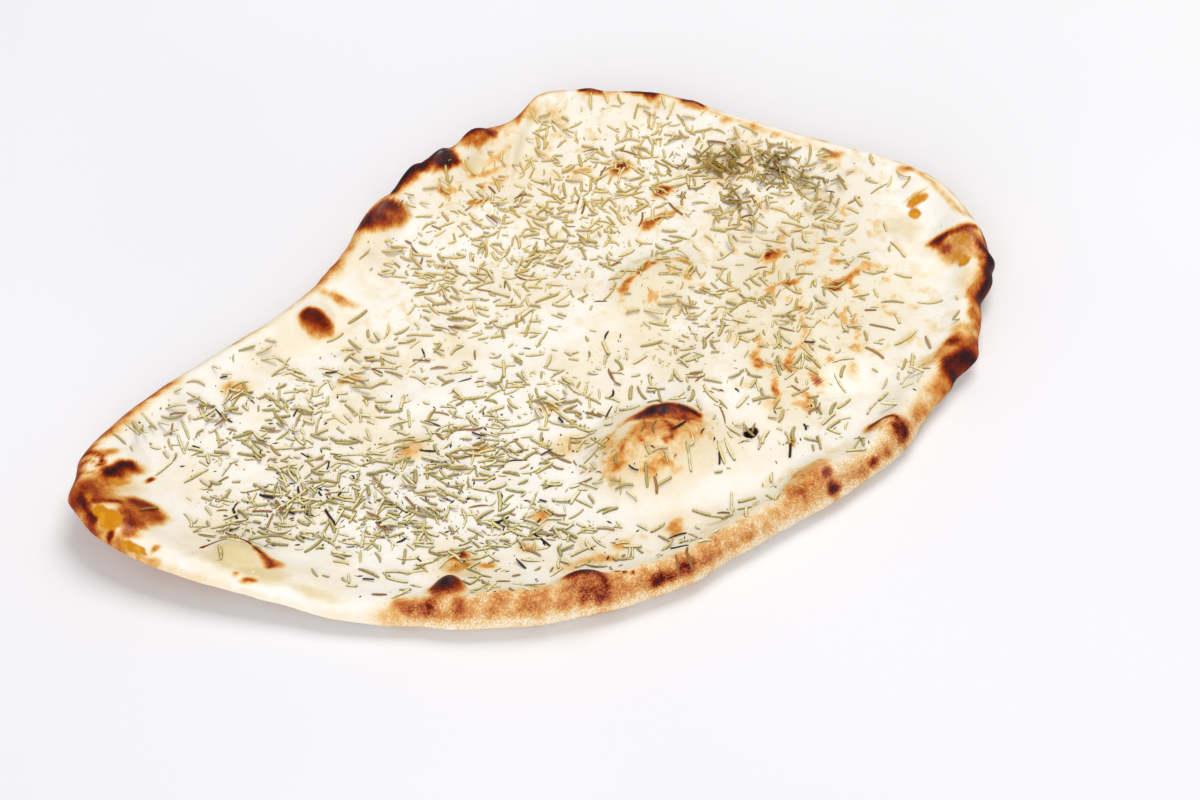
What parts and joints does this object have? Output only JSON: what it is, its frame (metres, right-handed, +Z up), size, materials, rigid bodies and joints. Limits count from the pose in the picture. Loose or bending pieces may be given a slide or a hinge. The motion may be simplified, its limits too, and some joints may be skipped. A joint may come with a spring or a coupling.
{
  "type": "rosemary naan",
  "caption": "Leavened flatbread drawn out into a blunt teardrop, with a puffed rim, toasted blisters and dried rosemary needles baked on to its upper face.",
  "frame": {"origin": "under the middle of the bread's length and width, on the plane it rests on", "axes": "+X along the length from the narrow end to the broad end, +Y across the width towards the hollow long edge, +Z up through the face with the rosemary"},
  "size_m": [0.3237, 0.226, 0.0179],
  "materials": {
    "baked_dough": "matte baked dough, cream with golden to near-black toasted patches, faintly oiled on top",
    "dried_rosemary": "matte dried herb needles, khaki green with browned tips"
  },
  "bodies": {
    "root": {"rosemary_naan": "baked_dough"}
  },
  "joints": []
}
